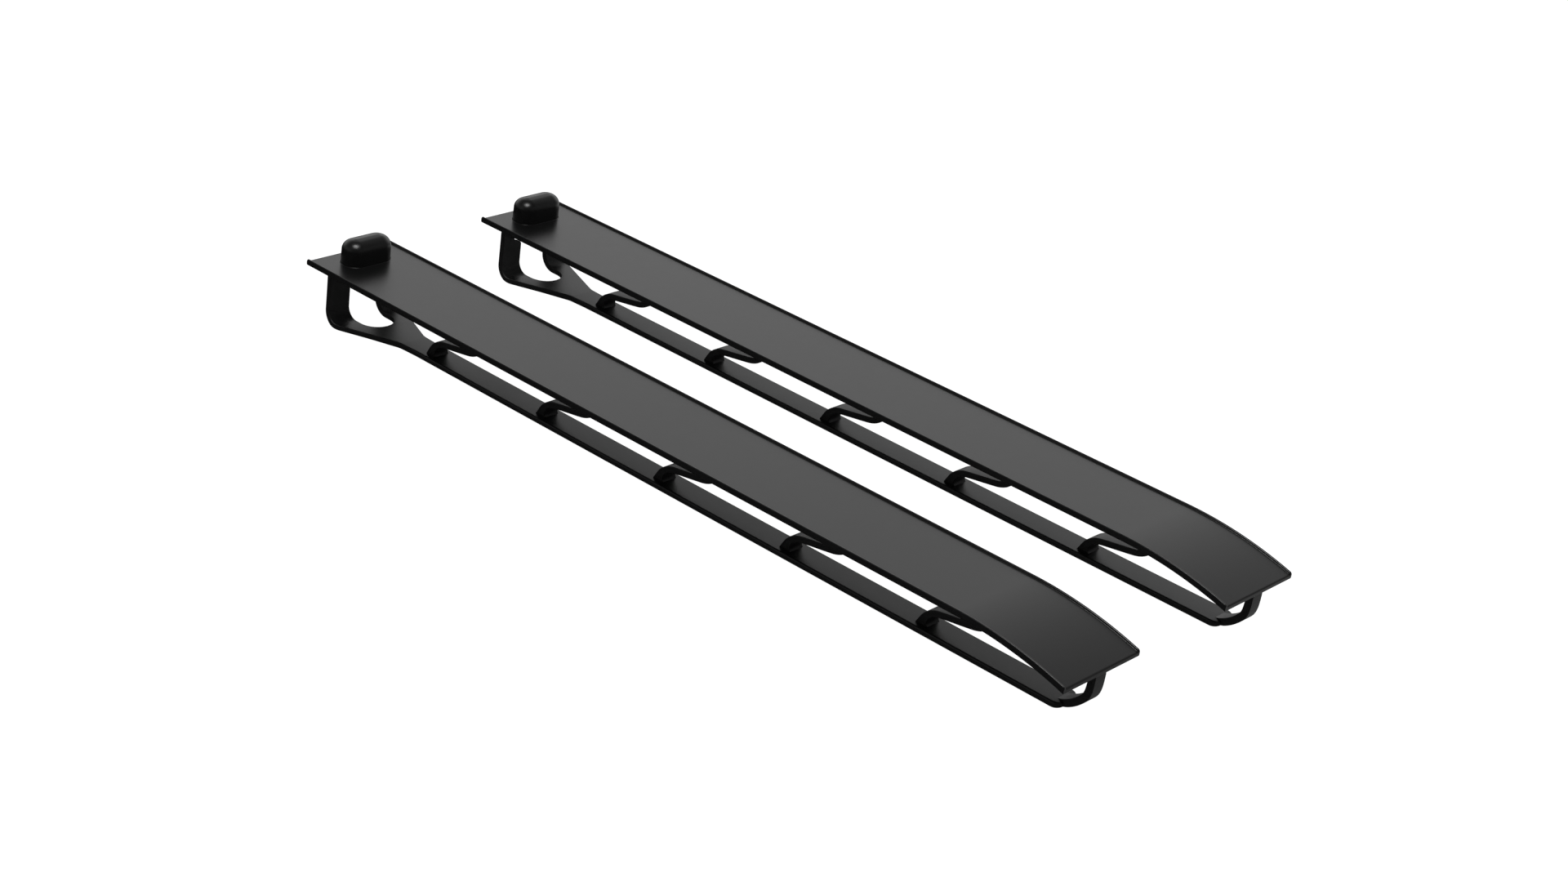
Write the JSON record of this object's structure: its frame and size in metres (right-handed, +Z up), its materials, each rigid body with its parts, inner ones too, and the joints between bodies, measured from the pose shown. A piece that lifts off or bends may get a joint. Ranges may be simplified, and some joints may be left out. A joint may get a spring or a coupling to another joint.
{
  "type": "roof ski rack pad pair",
  "caption": "Pair of sprung ski pads for a clamshell roof ski rack: channel plates with a push button, each over a narrow contact band on S-shaped flexible fingers.",
  "frame": {"origin": "under the middle of the pair, level with the undersides of the contact bands", "axes": "+X along the pads towards the nose, +Y from the front pad to the rear pad, +Z up"},
  "size_m": [0.604, 0.212, 0.0559],
  "materials": {
    "plate_plastic": "semi-gloss black moulding",
    "button_plastic": "semi-gloss black moulding",
    "band_rubber": "smooth black elastomer with a satin sheen",
    "flex_plastic": "smooth black elastomer with a satin sheen",
    "inner_plastic": "matt black moulding, out of sight",
    "spring_steel": "plain steel, out of sight"
  },
  "bodies": {
    "plates": {"front_backing_plate": "plate_plastic", "front_button_spring": "spring_steel", "front_button_cup": "inner_plastic", "front_cup_screw_1": "spring_steel", "front_cup_screw_2": "spring_steel", "front_end_yoke": "flex_plastic", "front_nose_curl": "flex_plastic", "front_flex_finger_1": "flex_plastic", "front_flex_finger_2": "flex_plastic", "front_flex_finger_3": "flex_plastic", "front_flex_finger_4": "flex_plastic", "front_flex_finger_5": "flex_plastic", "rear_backing_plate": "plate_plastic", "rear_button_spring": "spring_steel", "rear_button_cup": "inner_plastic", "rear_cup_screw_1": "spring_steel", "rear_cup_screw_2": "spring_steel", "rear_end_yoke": "flex_plastic", "rear_nose_curl": "flex_plastic", "rear_flex_finger_1": "flex_plastic", "rear_flex_finger_2": "flex_plastic", "rear_flex_finger_3": "flex_plastic", "rear_flex_finger_4": "flex_plastic", "rear_flex_finger_5": "flex_plastic"},
    "front_button": {"front_lock_button": "button_plastic"},
    "front_band": {"front_contact_band": "band_rubber"},
    "rear_button": {"rear_lock_button": "button_plastic"},
    "rear_band": {"rear_contact_band": "band_rubber"}
  },
  "joints": [
    {"name": "front_button_press", "type": "slide", "parent": "plates", "child": "front_button", "axis": [0, 0, -1], "range_m": [0, 0.004], "stiffness_N_per_m": 900, "deforming": ["front_button_spring"]},
    {"name": "front_pad_squeeze", "type": "slide", "parent": "plates", "child": "front_band", "axis": [0, 0, 1], "range_m": [0, 0.012], "stiffness_N_per_m": 4000, "deforming": ["front_flex_finger_1", "front_flex_finger_2", "front_flex_finger_3", "front_flex_finger_4", "front_flex_finger_5", "front_end_yoke", "front_nose_curl"]},
    {"name": "rear_button_press", "type": "slide", "parent": "plates", "child": "rear_button", "axis": [0, 0, -1], "range_m": [0, 0.004], "stiffness_N_per_m": 900, "deforming": ["rear_button_spring"]},
    {"name": "rear_pad_squeeze", "type": "slide", "parent": "plates", "child": "rear_band", "axis": [0, 0, 1], "range_m": [0, 0.012], "stiffness_N_per_m": 4000, "deforming": ["rear_flex_finger_1", "rear_flex_finger_2", "rear_flex_finger_3", "rear_flex_finger_4", "rear_flex_finger_5", "rear_end_yoke", "rear_nose_curl"]}
  ]
}
